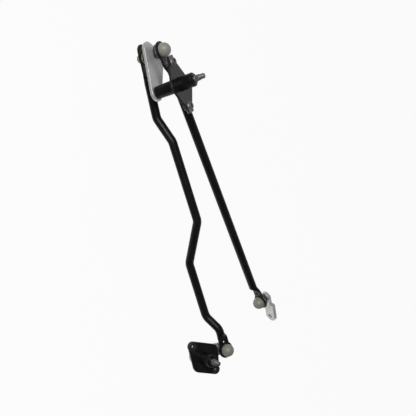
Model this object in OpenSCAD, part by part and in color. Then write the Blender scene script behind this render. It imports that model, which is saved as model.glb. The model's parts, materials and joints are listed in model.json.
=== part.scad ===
// Wiper linkage: two wiper pivots, a straight drive rod to the motor crank and a bent link rod between
// the levers. Frame: the origin is the centre of the upper pivot's mounting plate, on its front face.
// +Z runs along the upper wiper shaft to its threaded tip, +X along the row of the plate's two ear holes,
// towards the lower pivot.

/* [Pivots] */
// Outer diameter of a pivot housing at its front
housing_d = 18.5; // [16.5:0.5:22]
// Outer diameter of a pivot housing at its back end
housing_back_d = 17; // [16:0.5:18.5]
// Length of a housing in front of its mounting plate
housing_front = 20; // [18:1:30]
// Length of the upper housing behind the front face of its plate
housing_1_back = 38; // [30:1:60]
// Length of the lower housing behind the front face of its plate
housing_2_back = 18; // [16:1:40]
// Diameter of the housing's collar behind the plate
collar_d = 24; // [22:1:28]
// Length of that collar
collar_len = 3; // [2:0.5:5]
// Length of a bearing bush
bush_len = 9; // [5:1:11]
// Wall of a bearing bush
bush_wall = 2; // [1:0.25:2.25]
// Height of the rubber ring in the housing's mouth
seal_h = 2.5; // [1.5:0.25:4]

/* [Mounting plates] */
// Thickness of a mounting plate
plate_t = 3; // [2:0.5:4]
// Distance between the two ear holes of a plate
ear_spacing = 60; // [54:1:72]
// Diameter of an ear hole
ear_hole_d = 8.5; // [7.5:0.5:9.5]
// Corner radius of an ear
ear_r = 7.5; // [7:0.5:11]
// Width of a plate across two equal broad corners, of which one is drawn in
plate_w = 54; // [46:1:62]
// Radius of the broad corners
plate_corner_r = 13; // [10:1:16]
// Shift of the broad corners along the plate, which skews its outline
plate_skew = 5; // [0:1:8]
// Turn of the lower plate about its shaft, from the line of the lower lever
plate_2_turn = -48; // [-90:1:90]
// Distance of a plate's drawn-in edge from its shaft
plate_low_w = 23.5; // [20:0.5:27]
// Shift of that edge's corner along the plate
plate_low_skew = 0; // [0:1:8]

/* [Ear fittings] */
// Diameter of the screw holes in the clip nuts and grommets
screw_hole_d = 6; // [5:0.5:7]
// Thickness of a clip nut's leaf
clip_t = 1; // [0.8:0.1:1.5]
// Width of a clip nut
clip_w = 11; // [10:1:16]
// Outer diameter of a clip nut's front barrel
clip_barrel_d = 9; // [8.5:0.5:12]
// Height of that barrel
clip_barrel_h = 3; // [2:0.5:8]
// Height of the clip nut's back collar
clip_back_h = 4; // [1.5:0.5:5]
// Outer diameter of a grommet's rims
grommet_d = 14; // [12:0.5:16]
// Thickness of a grommet's rim
grommet_rim = 2; // [1:0.5:3]

/* [Shafts] */
// Diameter of a wiper shaft in its bushes
shaft_d = 9; // [8:0.5:9.5]
// Diameter of the knurled seat for the wiper arm
knurl_d = 8.5; // [7.75:0.25:8.75]
// Length of the knurled seat
knurl_len = 6; // [4:0.5:12]
// Diameter of the threaded tip
thread_d = 7; // [6:0.5:7.5]
// Length of the threaded tip
thread_len = 7; // [5:0.5:14]
// Diameter of the thrust washer
washer_d = 15; // [14:0.5:17]
// Thickness of the thrust washer and of the circlip
washer_t = 1; // [0.8:0.1:1.4]
// Diameter of the circlip
circlip_d = 12.5; // [11.5:0.5:13.5]
// Depth of the circlip's groove in the shaft
groove_depth = 0.5; // [0.3:0.1:0.8]
// Diameter of the shaft's riveted spigot in its lever
spigot_d = 7; // [6:0.5:8]
// Diameter of a rivet head
rivet_d = 11.5; // [9.5:0.5:13]
// Height of a rivet head
rivet_h = 2; // [1:0.5:3]

/* [Levers and crank] */
// Thickness of a lever
lever_t = 4; // [3:0.5:6]
// Shaft-to-ball length of the upper lever
lever_1_r = 59; // [52:1:70]
// Radius of the upper lever's shaft end
lever_1_hub_r = 11; // [9:0.5:13]
// Width of the upper lever's ball end
lever_1_end_w = 43; // [36:1:48]
// Radius of the two corners of that end
lever_1_corner_r = 12; // [9:0.5:14]
// Shift of that end to the side of the lever's middle line
lever_1_end_shift = 2; // [0:0.5:4]
// Slant of that end: how far one corner lies before the other
lever_1_slant = 2.5; // [0:0.5:5]
// Shaft-to-ball length of the lower lever
lever_2_r = 48; // [42:1:58]
// Radius of the lower lever's shaft end
lever_2_hub_r = 13; // [10:0.5:15]
// Radius of the lower lever's ball end
lever_2_end_r = 9.5; // [8.5:0.5:13]
// Thickness of the motor crank
crank_t = 6; // [4:0.5:7]
// Ball-to-shaft length of the motor crank
crank_r = 52; // [44:1:60]
// Sideways step in the motor crank
crank_step = 6.5; // [4:0.5:9]
// Radius of the motor crank's ball end
crank_ball_end_r = 9; // [8.5:0.5:12]
// Radius of the motor crank's shaft end
crank_end_r = 10; // [8.5:0.5:13]
// Diameter of the motor shaft's hole in the crank
crank_hole_d = 8; // [6:0.5:12]

/* [Ball joints] */
// Diameter of a ball
ball_d = 15; // [14:0.5:16]
// Height of a ball's centre over its lever
ball_h = 15; // [14.5:0.5:18]
// Diameter of a ball stud's neck
neck_d = 7.5; // [6:0.5:8]
// Diameter of the small ball behind the upper lever
back_ball_d = 10; // [9:0.5:11]
// Height of that ball's centre behind the lever
back_ball_h = 18; // [16:0.5:22]
// Diameter of the neck under that ball
back_neck_d = 5; // [4:0.25:5.25]
// Wall of a ball cup around its ball
cup_wall = 2.2; // [2:0.1:2.6]
// Step of a cup's lip beyond its body
cup_lip = 1; // [0.6:0.2:1.6]
// Depth of the groove around a cup, which holds the rod's eye
groove_in = 1.2; // [0.8:0.1:1.2]
// Thickness of a cup's lip
lip_t = 2; // [1.5:0.25:2.5]
// Height of a dust ring
dust_h = 3; // [2:0.25:3.25]

/* [Rods] */
// Diameter of the rods' tube
rod_d = 12.7; // [11.5:0.1:14]
// Wall of the tube
rod_wall = 1.5; // [1:0.1:2.5]
// Thickness of a flattened rod end
flat_t = 3.2; // [2.6:0.1:3.6]
// Width of a flattened rod end
flat_w = 17; // [14:0.5:20]
// Outer diameter of a rod's eye
eye_d = 25; // [23.5:0.5:28]
// Outer diameter of the link rod's upper eye
back_eye_d = 19; // [18:0.5:24]
// Drop of the link rod's upper eye and tube below the ball, towards the lever
back_drop = 2; // [1.7:0.1:3]
// Length of the link rod's end beyond its upper eye
back_over = 9.5; // [4:0.5:14]
// Distance from an eye's centre to the round tube
neck_len = 34; // [30:1:40]
// Distance from the link rod's lower eye to the round tube
low_neck_len = 28; // [27:0.5:34]
// Length of the flat at the link rod's lower eye
low_flat_len = 20; // [18:0.5:22]
// Diameter of the drain hole in a flattened end
drain_d = 3.5; // [2:0.25:4]
// Ball-to-ball length of the drive rod
drive_len = 440; // [380:5:520]
// Ball-to-ball length of the link rod
link_len = 457.5; // [440:2.5:520]
// Bend radius of the link rod's middle line
bend_r = 18; // [14:1:20]
// Length of the link rod from its upper ball to its first bend
first_bend = 84; // [76:1:92]

/* [Rest pose] */
// Turn of the upper lever from the plate's ear line
lever_1_turn = 146; // [120:1:170]
// Turn of the drive rod from the line of the upper lever
drive_swing = -136; // [-150:1:-120]
// Dip of the drive rod below the plane of the upper lever
drive_dip = 6.4; // [0:0.1:8]
// Twist between the drive rod's two eyes
drive_twist = 117; // [100:1:130]
// Turn of the motor crank from the line of the drive rod
crank_turn = -14.5; // [-40:0.5:40]
// Turn of the link rod from the line of the upper lever
link_swing = -148.5; // [-165:0.5:-135]
// Dip of the link rod below the plane of the upper lever
link_dip = 5.1; // [0:0.1:8]
// Lean of the link rod's upper end against its ball-to-ball line
link_lean = 4.5; // [0:0.5:6]
// Twist between the link rod's two eyes
link_twist = 26; // [10:1:40]
// Turn of the lower lever from the line of the link rod
lever_2_swing = 74; // [50:1:110]

/* [Hidden] */
$fn = 64;

// Clearances: a running fit, a seated ring, and a gap between a turning piece and a standing one
run_gap = 0.04;
seat_gap = 0.02;
turn_gap = 0.4;
eps = 0.01;

// Radii and levels inside a pivot
bore_r = shaft_d / 2 + run_gap + bush_wall;
mouth_r = bore_r + 0.4;
washer_z = housing_front + turn_gap;
circlip_z = washer_z + washer_t + seat_gap;
knurl_z = circlip_z + washer_t + 0.6;
thread_z = knurl_z + knurl_len;
tip_z = thread_z + thread_len;
lever_1_face = -housing_1_back - turn_gap;
lever_2_face = -housing_2_back - turn_gap;

// A ball joint is a list: the ball's diameter, its height over the lever, the neck's diameter, the radius of
// the cup, the drop of the eye's middle below the ball's centre and the eye's outer diameter
eye_drop = rod_d / 2 - flat_t / 2;
front_joint = [ball_d, ball_h, neck_d, ball_d / 2 + cup_wall, eye_drop, eye_d];
back_joint = [back_ball_d, back_ball_h, back_neck_d, back_ball_d / 2 + cup_wall, back_drop, back_eye_d];
shank_r = neck_d / 2 + 0.25;

// Levels in a ball joint, from the ball's centre along the stud towards the lever, and its radii
function eye_low(joint) = joint[4] + flat_t / 2;
function eye_high(joint) = flat_t / 2 - joint[4];
function mouth_drop(joint) = 0.61 * joint[0] / 2;
function lip_low(joint) = max(eye_low(joint) + lip_t, mouth_drop(joint) + 0.5);
function dust_low(joint) = lip_low(joint) + dust_h;
function groove_r(joint) = joint[3] - groove_in;
function lip_r(joint) = joint[3] + cup_lip;
function cup_mouth_r(joint) = sqrt(pow(joint[0] / 2 + run_gap, 2) - pow(mouth_drop(joint), 2));

// The link rod's middle line, as points along its ball-to-ball line and heights above it
link_end = link_len - low_neck_len;
low_z = -eye_drop * cos(link_twist);
bend_steps = 5;
pipe_sides = 24;
neck_sides = 32;
neck_round_d = rod_d / cos(180 / neck_sides) + 2 * seat_gap;
link_route = [
    on_lean(neck_len), on_lean(first_bend), [120, 9.5], [242, 12.5], [306.5, -22],
    [link_end - 32.5, -20.7], [link_end - 9.8, low_z], [link_end, low_z]
];

// A place on the middle line of the link rod's leaning upper end
function on_lean(x) = x * heading(-link_lean) + back_drop * heading(90 - link_lean);

// The two ends of a straight side, on the right of the way from one round end to the next. A round end is
// a centre and a radius, and the side lies a hair inside it, so that it meets the arc at an angle.
function touch(p, q) =
    let (
        way = q[0] - p[0],
        a = atan2(way[1], way[0]) - acos((p[1] - q[1]) / norm(way))
    )
    [p[0] + (p[1] - seat_gap) * heading(a), q[0] + (q[1] - seat_gap) * heading(a)];

// Round ends, listed counter-clockwise, with the straight sides between them
module rounded(ends) {
    last = len(ends) - 1;
    for (e = ends) translate(e[0]) circle(e[1]);
    polygon([for (i = [0:last]) each touch(ends[i], ends[i == last ? 0 : i + 1])]);
}

module ring(outer_r, inner_r, low, high) {
    translate([0, 0, low])
        difference() {
            cylinder(r = outer_r, h = high - low);
            translate([0, 0, -1]) cylinder(r = inner_r, h = high - low + 2);
        }
}

// Placement along the chain of pieces
module on_lever_1() rotate([0, 0, lever_1_turn]) children();
module at_drive_ball() on_lever_1() translate([lever_1_r, 0, lever_1_face + ball_h]) children();
module on_drive_rod() at_drive_ball() rotate([0, 0, drive_swing]) rotate([0, drive_dip, 0]) children();
module at_crank_ball() on_drive_rod() translate([drive_len, 0, 0]) rotate([drive_twist, 0, 0]) children();
module on_crank() at_crank_ball() rotate([0, 0, crank_turn]) children();
module at_link_ball()
    on_lever_1() translate([lever_1_r, 0, lever_1_face - lever_t - back_ball_h]) children();
module on_link_rod() at_link_ball() rotate([0, 0, link_swing]) rotate([0, link_dip, 0]) children();
module at_link_eye() rotate([0, link_lean, 0]) rotate([180, 0, 0]) children();
module at_lever_2_ball() on_link_rod() translate([link_len, 0, 0]) rotate([link_twist, 0, 0]) children();
module on_lever_2()
    at_lever_2_ball()
        rotate([0, 0, lever_2_swing]) translate([-lever_2_r, 0, -ball_h - lever_2_face]) children();
module on_pivot_2() on_lever_2() rotate([0, 0, plate_2_turn]) children();
module at_ears()
    for (side = [0, 180]) rotate([0, 0, side]) translate([ear_spacing / 2, 0, 0]) children();

// Pieces of a pivot, in the frame of its own plate
module housing(back) {
    collar_z = -plate_t - collar_len;
    color("#1b1b1d")
        difference() {
            union() {
                translate([0, 0, -back])
                    cylinder(d1 = housing_back_d, d2 = housing_d, h = back + collar_z + eps);
                translate([0, 0, collar_z]) cylinder(d = collar_d, h = collar_len);
                translate([0, 0, -plate_t - eps]) cylinder(d = housing_d, h = housing_front + plate_t + eps);
            }
            translate([0, 0, -back - 1]) cylinder(r = bore_r + seat_gap, h = back + housing_front + 2);
            translate([0, 0, housing_front - seal_h - 0.3]) cylinder(r = mouth_r, h = seal_h + 1);
        }
}

module plate_outline() {
    ear = [ear_spacing / 2, 0];
    broad = [plate_skew, plate_w / 2 - plate_corner_r];
    low = [-plate_low_skew, plate_corner_r - plate_low_w];
    rounded([[ear, ear_r], [broad, plate_corner_r], [-ear, ear_r], [low, plate_corner_r]]);
}

module flange() {
    color("#2a2a2c")
        translate([0, 0, -plate_t])
            difference() {
                linear_extrude(plate_t) plate_outline();
                translate([0, 0, -1]) cylinder(d = housing_d + 2 * seat_gap, h = plate_t + 2);
                at_ears() translate([0, 0, -1]) cylinder(d = ear_hole_d, h = plate_t + 2);
            }
}

module bushes(back) {
    front_top = housing_front - seal_h - 0.5;
    color("#b08d57") {
        ring(bore_r, shaft_d / 2 + run_gap, front_top - bush_len, front_top);
        ring(bore_r, shaft_d / 2 + run_gap, -back + 0.2, -back + 0.2 + bush_len);
    }
}

module mouth_seal()
    color("#111112")
        ring(mouth_r - seat_gap, shaft_d / 2 + run_gap, housing_front - seal_h - 0.3, housing_front - 0.3);

module shaft(face) {
    groove_z = circlip_z - 0.1;
    color("#8f9194")
        difference() {
            union() {
                translate([0, 0, face - lever_t - rivet_h]) cylinder(d = rivet_d, h = rivet_h);
                translate([0, 0, face - lever_t - eps]) cylinder(d = spigot_d, h = lever_t + 2 * eps);
                translate([0, 0, face]) cylinder(d = shaft_d, h = knurl_z - face);
                translate([0, 0, knurl_z - eps])
                    cylinder(d1 = knurl_d, d2 = knurl_d - 0.4, h = knurl_len + eps);
                translate([0, 0, thread_z - eps]) cylinder(d = thread_d, h = thread_len + eps);
            }
            ring(shaft_d, shaft_d / 2 - groove_depth, groove_z, groove_z + washer_t + 0.2);
        }
}

module washer()
    color("#c9cacb") ring(washer_d / 2, shaft_d / 2 + run_gap, washer_z, washer_z + washer_t);

module circlip() {
    inner_r = shaft_d / 2 - groove_depth + seat_gap;
    color("#a9abad")
        difference() {
            ring(circlip_d / 2, inner_r, circlip_z, circlip_z + washer_t);
            translate([0, -0.6 * inner_r, circlip_z - 1]) cube([circlip_d, 1.2 * inner_r, washer_t + 2]);
        }
}

module clip_nut() {
    tip_x = ear_r + 0.3;
    back_z = -plate_t - clip_t;
    color("#c4c5c4")
        difference() {
            union() {
                for (z = [back_z, 0])
                    translate([-clip_w / 2, -clip_w / 2, z])
                        cube([clip_w / 2 + tip_x + eps, clip_w, clip_t]);
                translate([tip_x, -clip_w / 2, back_z]) cube([clip_t, clip_w, plate_t + 2 * clip_t]);
                cylinder(d = clip_barrel_d, h = clip_t + clip_barrel_h);
                translate([0, 0, back_z - clip_back_h])
                    cylinder(d = clip_barrel_d - 1, h = clip_back_h + eps);
            }
            translate([0, 0, back_z - clip_back_h - 1])
                cylinder(d = screw_hole_d, h = plate_t + 2 * clip_t + clip_back_h + clip_barrel_h + 2);
            translate([0, 0, -plate_t - eps]) cylinder(d = ear_hole_d, h = plate_t + eps);
        }
}

module grommet()
    color("#0e0e0f")
        difference() {
            union() {
                translate([0, 0, -plate_t - grommet_rim]) cylinder(d = grommet_d, h = grommet_rim);
                translate([0, 0, -plate_t - eps])
                    cylinder(d = ear_hole_d - 2 * seat_gap, h = plate_t + 2 * eps);
                cylinder(d = grommet_d, h = grommet_rim);
            }
            translate([0, 0, -plate_t - grommet_rim - 1])
                cylinder(d = screw_hole_d, h = plate_t + 2 * grommet_rim + 2);
        }

// A lever plate under its face, with the shaft's hole at its origin and the stud's hole along +X
module lever_plate(face, reach) {
    color("#c8c9c8")
        translate([0, 0, face - lever_t])
            difference() {
                linear_extrude(lever_t) children();
                translate([0, 0, -1]) cylinder(d = spigot_d + 2 * seat_gap, h = lever_t + 2);
                translate([reach, 0, -1]) cylinder(r = shank_r + seat_gap, h = lever_t + 2);
            }
}

// Ball and neck of a stud, seen from the ball's centre with the stud standing on a face below it
module ball_and_neck(joint) {
    sphere(d = joint[0]);
    translate([0, 0, -joint[1]]) {
        cylinder(d = joint[2], h = joint[1]);
        cylinder(d = joint[2] + 3.5, h = 1.2);
    }
}

module single_stud(plate) {
    foot = -ball_h - plate - run_gap;
    color("#9b9da0") {
        ball_and_neck([ball_d, ball_h - run_gap, neck_d]);
        translate([0, 0, foot - eps]) cylinder(r = shank_r, h = plate + 2 * run_gap + 2 * eps);
        translate([0, 0, foot - rivet_h]) cylinder(d = rivet_d, h = rivet_h);
    }
}

// A nylon cup around a ball: dome outwards, groove for the rod's eye, lip towards the lever
module cup(joint) {
    cup_r = joint[3];
    top = eye_high(joint);
    low = lip_low(joint);
    color("#cdc6b4")
        difference() {
            union() {
                intersection() {
                    sphere(r = cup_r);
                    translate([0, 0, max(0, top)]) cylinder(r = cup_r + 1, h = cup_r + 1);
                }
                if (top < 0) translate([0, 0, top]) cylinder(r = cup_r, h = eps - top);
                translate([0, 0, -eye_low(joint) - eps])
                    cylinder(r = groove_r(joint), h = flat_t + 2 * eps);
                translate([0, 0, -low]) cylinder(r = lip_r(joint), h = low - eye_low(joint));
            }
            sphere(d = joint[0] + 2 * run_gap);
            translate([0, 0, -low - 1])
                cylinder(r = cup_mouth_r(joint), h = low + 1 - mouth_drop(joint));
        }
}

module dust_ring(joint)
    color("#121213")
        ring(lip_r(joint) - 0.8, cup_mouth_r(joint) + 0.4, -dust_low(joint), -lip_low(joint));

// A flattened rod end: its eye around the ball, its flat along one side of the tube. It may run on beyond
// the eye.
module flat_end(joint, reach, over = 0) {
    eye_r = joint[5] / 2;
    translate([0, 0, -eye_low(joint)])
        linear_extrude(flat_t) {
            if (over > 0) rounded([[[-over, 0], eye_r], [[0, 0], eye_r]]);
            else circle(eye_r);
            translate([0, -flat_w / 2]) square([reach, flat_w]);
        }
}

module eye_hole(joint)
    translate([0, 0, -eye_low(joint) - 1]) cylinder(r = groove_r(joint) + seat_gap, h = flat_t + 2);

module drain_slit(from, to) {
    translate([from, -2, -eye_drop - 0.5]) cube([to - from, 4, 1]);
    translate([from + drain_d / 2, 0, -eye_low(front_joint) - 1]) cylinder(d = drain_d, h = rod_d);
}

// Places along a route of points in the XZ plane, each a point and the way it heads: both ends, and an arc
// of bend_steps chords at each inner point
function route_rings(route) =
    let (last = len(route) - 1)
    concat(
        [[route[0], slope(route, 0)]],
        [for (i = [1:last - 1])
            let (
                before = slope(route, i - 1),
                turn = slope(route, i) - before,
                side = turn > 0 ? 1 : -1,
                start = route[i] - bend_r * tan(abs(turn) / 2) * heading(before),
                centre = start + side * bend_r * heading(before + 90)
            )
            for (k = [0:bend_steps])
                let (a = before + turn * k / bend_steps)
                [centre - side * bend_r * heading(a + 90), a]],
        [[route[last], slope(route, last - 1)]]
    );

function heading(a) = [cos(a), sin(a)];

// One ring of points around a place on the route
function ring_points(place, r) =
    [for (k = [0:pipe_sides - 1])
        let (
            a = 360 * k / pipe_sides,
            p = place[0] + r * cos(a) * heading(place[1] + 90)
        )
        [p[0], r * sin(a), p[1]]];

// A bent pipe with open ends, as one closed skin: out along the wall's outside and back along its inside
module pipe(route, outer_r, inner_r) {
    rings = route_rings(route);
    last = len(rings) - 1;
    skin = concat(
        [for (place = rings) ring_points(place, outer_r)],
        [for (i = [last:-1:0]) ring_points(rings[i], inner_r)]
    );
    n = pipe_sides;
    polyhedron(
        [for (loop = skin) each loop],
        [for (i = [0:len(skin) - 1], k = [0:n - 1])
            let (j = (i + 1) % len(skin), m = (k + 1) % n)
            [i * n + k, i * n + m, j * n + m, j * n + k]]
    );
}

function slope(route, i) = atan2(route[i + 1][1] - route[i][1], route[i + 1][0] - route[i][0]);

// The closing of the tube, from its round end to the flat
module neck(joint, round_x, round_z, flat_x, twist) {
    hull() {
        translate([round_x, 0, round_z])
            rotate([0, 90, 0]) cylinder(d = neck_round_d, h = 0.1, center = true, $fn = neck_sides);
        rotate([twist, 0, 0])
            translate([flat_x, -flat_w / 2, -eye_low(joint)]) cube([0.1, flat_w, flat_t]);
    }
}

// Sub-parts
module pivot_1_housing() housing(housing_1_back);
module pivot_1_flange() flange();
module pivot_1_bushes() bushes(housing_1_back);
module pivot_1_seal() mouth_seal();
module pivot_1_clip_nuts() at_ears() clip_nut();

module shaft_1() on_lever_1() shaft(lever_1_face);
module shaft_1_washer() on_lever_1() washer();
module shaft_1_circlip() on_lever_1() circlip();

module lever_1() {
    half = lever_1_end_w / 2 - lever_1_corner_r;
    hub = [[0, 0], lever_1_hub_r];
    right = [[lever_1_r - lever_1_slant, lever_1_end_shift - half], lever_1_corner_r];
    left = [[lever_1_r, lever_1_end_shift + half], lever_1_corner_r];
    on_lever_1()
        lever_plate(lever_1_face, lever_1_r) rounded([hub, right, left]);
}

module double_ball_stud()
    color("#9b9da0") {
        at_drive_ball() ball_and_neck(front_joint);
        at_link_ball() rotate([180, 0, 0]) ball_and_neck(back_joint);
        at_link_ball()
            translate([0, 0, back_ball_h - eps]) cylinder(r = shank_r, h = lever_t + 2 * eps);
    }

module drive_rod() {
    flat_end_x = neck_len - 16;
    color("#141416")
        on_drive_rod()
            difference() {
                union() {
                    translate([neck_len, 0, 0])
                        rotate([0, 90, 0]) cylinder(d = rod_d, h = drive_len - 2 * neck_len);
                    flat_end(front_joint, flat_end_x);
                    neck(front_joint, neck_len, 0, flat_end_x - 0.1, 0);
                    translate([drive_len, 0, 0]) {
                        rotate([drive_twist, 0, 0])
                            rotate([0, 0, 180]) flat_end(front_joint, flat_end_x);
                        mirror([1, 0, 0])
                            neck(front_joint, neck_len, 0, flat_end_x - 0.1, -drive_twist);
                    }
                }
                translate([neck_len + 2, 0, 0])
                    rotate([0, 90, 0]) cylinder(d = rod_d - 2 * rod_wall, h = drive_len - 2 * neck_len - 4);
                eye_hole(front_joint);
                translate([drive_len, 0, 0])
                    rotate([drive_twist, 0, 0])
                        rotate([0, 0, 180]) {
                            eye_hole(front_joint);
                            drain_slit(flat_end_x - 2, neck_len + 4);
                        }
            }
}

module drive_rod_sockets() {
    on_drive_rod() cup(front_joint);
    at_crank_ball() cup(front_joint);
}

module drive_rod_seals() {
    on_drive_rod() dust_ring(front_joint);
    at_crank_ball() dust_ring(front_joint);
}

module crank_stud() at_crank_ball() single_stud(crank_t);

module motor_crank() {
    step_x = [crank_ball_end_r + 3, crank_ball_end_r + 3 + 1.6 * crank_step];
    top = -ball_h;
    low = top - crank_step;
    far = crank_r + 2 * crank_end_r;
    color("#cfd0cf")
        on_crank()
            difference() {
                intersection() {
                    translate([0, 0, low - crank_t - 1])
                        linear_extrude(crank_step + crank_t + 2)
                            rounded([[[0, 0], crank_ball_end_r], [[crank_r, 0], crank_end_r]]);
                    translate([0, far, 0])
                        rotate([90, 0, 0])
                            linear_extrude(2 * far)
                                polygon([
                                    [-far, top], [step_x[0], top], [step_x[1], low], [far, low],
                                    [far, low - crank_t], [step_x[1], low - crank_t],
                                    [step_x[0], top - crank_t], [-far, top - crank_t]
                                ]);
                }
                translate([0, 0, low - crank_t - 1])
                    cylinder(r = shank_r + run_gap, h = crank_step + crank_t + 2);
                translate([crank_r, 0, low - crank_t - 1]) cylinder(d = crank_hole_d, h = crank_t + 2);
            }
}

module link_rod() {
    flat_end_x = neck_len - 16;
    color("#141416")
        on_link_rod()
            difference() {
                union() {
                    pipe(link_route, rod_d / 2, rod_d / 2 - rod_wall);
                    at_link_eye() {
                        flat_end(back_joint, flat_end_x, back_over);
                        neck(back_joint, neck_len, -back_drop, flat_end_x - 0.1, 0);
                    }
                    translate([link_len, 0, 0]) {
                        rotate([link_twist, 0, 0])
                            rotate([0, 0, 180]) flat_end(front_joint, low_flat_len);
                        mirror([1, 0, 0])
                            neck(front_joint, low_neck_len, low_z, low_flat_len - 0.1, -link_twist);
                    }
                }
                at_link_eye() eye_hole(back_joint);
                translate([link_len, 0, 0])
                    rotate([link_twist, 0, 0])
                        rotate([0, 0, 180]) {
                            eye_hole(front_joint);
                            drain_slit(eye_d / 2, low_neck_len + 2);
                        }
            }
}

module link_rod_sockets() {
    on_link_rod() at_link_eye() cup(back_joint);
    at_lever_2_ball() cup(front_joint);
}

module link_rod_seals() {
    on_link_rod() at_link_eye() dust_ring(back_joint);
    at_lever_2_ball() dust_ring(front_joint);
}

module lever_2_stud() at_lever_2_ball() single_stud(lever_t);

module lever_2()
    on_lever_2()
        lever_plate(lever_2_face, lever_2_r)
            rounded([[[0, 0], lever_2_hub_r], [[lever_2_r, 0], lever_2_end_r]]);

module shaft_2() on_lever_2() shaft(lever_2_face);
module shaft_2_washer() on_lever_2() washer();
module shaft_2_circlip() on_lever_2() circlip();

module pivot_2_housing() on_pivot_2() housing(housing_2_back);
module pivot_2_flange() on_pivot_2() flange();
module pivot_2_bushes() on_pivot_2() bushes(housing_2_back);
module pivot_2_seal() on_pivot_2() mouth_seal();
module pivot_2_grommets() on_pivot_2() at_ears() grommet();

pivot_1_housing();
pivot_1_flange();
pivot_1_bushes();
pivot_1_seal();
pivot_1_clip_nuts();
shaft_1();
shaft_1_washer();
shaft_1_circlip();
lever_1();
double_ball_stud();
drive_rod();
drive_rod_sockets();
drive_rod_seals();
crank_stud();
motor_crank();
link_rod();
link_rod_sockets();
link_rod_seals();
lever_2_stud();
lever_2();
shaft_2();
shaft_2_washer();
shaft_2_circlip();
pivot_2_housing();
pivot_2_flange();
pivot_2_bushes();
pivot_2_seal();
pivot_2_grommets();
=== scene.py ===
"""Looks of a wiper linkage: two wiper pivots, two levers, a straight drive rod with a motor crank, and a
bent link rod. Sizes are in millimetres in each piece's own frame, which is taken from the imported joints.
Meshes are in metres."""

import json
import math
from collections import namedtuple

import bmesh
import bpy
import numpy as np
from mathutils import Matrix, Vector


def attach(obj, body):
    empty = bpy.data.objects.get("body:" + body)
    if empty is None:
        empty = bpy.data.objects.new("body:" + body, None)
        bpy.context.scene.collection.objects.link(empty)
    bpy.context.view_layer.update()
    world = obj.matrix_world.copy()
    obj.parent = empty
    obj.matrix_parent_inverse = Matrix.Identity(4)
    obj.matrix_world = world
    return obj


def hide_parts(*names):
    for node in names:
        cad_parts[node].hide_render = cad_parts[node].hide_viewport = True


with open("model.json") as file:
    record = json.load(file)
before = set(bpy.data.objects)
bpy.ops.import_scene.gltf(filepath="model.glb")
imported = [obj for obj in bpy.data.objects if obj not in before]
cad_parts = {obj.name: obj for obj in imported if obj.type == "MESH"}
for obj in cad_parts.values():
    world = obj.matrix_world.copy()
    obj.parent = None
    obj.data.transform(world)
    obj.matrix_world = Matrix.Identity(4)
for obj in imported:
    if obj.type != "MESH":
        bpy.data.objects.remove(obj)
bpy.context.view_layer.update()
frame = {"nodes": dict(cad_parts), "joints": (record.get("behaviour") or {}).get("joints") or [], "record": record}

MM = 0.001
TURN = 2 * math.pi
STEPS_PER_RADIAN = 14

# Pivots
HOUSING_R = 9.25
HOUSING_BACK_R = 8.5
HOUSING_FRONT = 20
HOUSING_1_BACK = 38
HOUSING_2_BACK = 18
COLLAR_R = 12
COLLAR_LEN = 3
BORE_R = 6.56
MOUTH_R = 6.94
MOUTH_DEPTH = 2.8
PLATE_T = 3
EAR_X = 30
EAR_R = 7.5
EAR_HOLE_R = 4.25
BROAD_R = 13
BROAD = (5, 14)
LOW_CORNER = (0, -10.5)
PLATE_2_TURN = math.radians(-48)
SCREW_R = 3
TURN_GAP = 0.4

# Shafts
SHAFT_R = 4.5
WASHER_R = 7.5
WASHER_T = 1
WASHER_Z = HOUSING_FRONT + TURN_GAP
CIRCLIP_R = 6.25
CIRCLIP_Z = WASHER_Z + WASHER_T + 0.02
GROOVE = 0.5
KNURL_R = 4.25
KNURL_Z = CIRCLIP_Z + WASHER_T + 0.6
KNURL_LEN = 6
THREAD_R = 3.5
THREAD_LEN = 7
SPIGOT_R = 3.5
RIVET_R = 5.75
RIVET_H = 2

# Levers and crank
LEVER_T = 4
LEVER_EDGE = 0.6
LEVER_1_R = 59
LEVER_1_FACE = -HOUSING_1_BACK - TURN_GAP
LEVER_1_HUB_R = 11
LEVER_1_CORNER_R = 12
LEVER_1_RIGHT = (LEVER_1_R - 2.5, -7.5)
LEVER_1_LEFT = (LEVER_1_R, 11.5)
LEVER_2_R = 48
LEVER_2_FACE = -HOUSING_2_BACK - TURN_GAP
LEVER_2_HUB_R = 13
LEVER_2_END_R = 9.5
CRANK_T = 6
CRANK_R = 52
CRANK_STEP = 6.5
CRANK_BALL_END_R = 9
CRANK_END_R = 10
CRANK_HOLE_R = 4

# Ball joints: radii, the ball's height over its lever, and levels from the ball's centre
Joint = namedtuple("Joint", "ball_r ball_h neck_r cup_r eye_r eye_high eye_low lip_low dust_low")
FRONT = Joint(7.5, 15, 3.75, 9.7, 12.5, -3.15, -6.35, -8.35, -11.35)
BACK = Joint(5, 18, 2.5, 7.2, 9.5, -0.4, -3.6, -5.6, -8.6)
SHANK_R = 4
COLLAR_STEP = 1.75
COLLAR_H = 1.2
CUP_GROOVE = 1.2
CUP_LIP = 1
MOUTH_SHARE = 0.61
RUN_GAP = 0.04
SEAT_GAP = 0.02

# Rods
ROD_R = 6.35
FLAT_HALF_W = 8.5
FLAT_HALF_T = 1.6
EYE_DROP = 4.75
DRAIN_R = 1.75
DRIVE_LEN = 440
LINK_LEN = 457.5
ROD_NECK = 34
FLAT_X = 18
FAR_FLAT_X = 21
FAR_DRAIN_X = 17.75
OVERLAP = 0.4
LOW_NECK = 28
LOW_FLAT = 20
BACK_OVER = 9.5
LINK_LEAN = math.radians(4.5)
BACK_DROP = 2
FIRST_BEND = 84
MIDDLE_BENDS = ((120, 9.5), (242, 12.5), (306.5, -22))
KNEE = (32.5, -20.7)
LAST_BEND = 9.8
BEND_R = 18


def unit(v):
    """v / |v|."""
    v = np.asarray(v, float)
    return v / np.linalg.norm(v)


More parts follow.
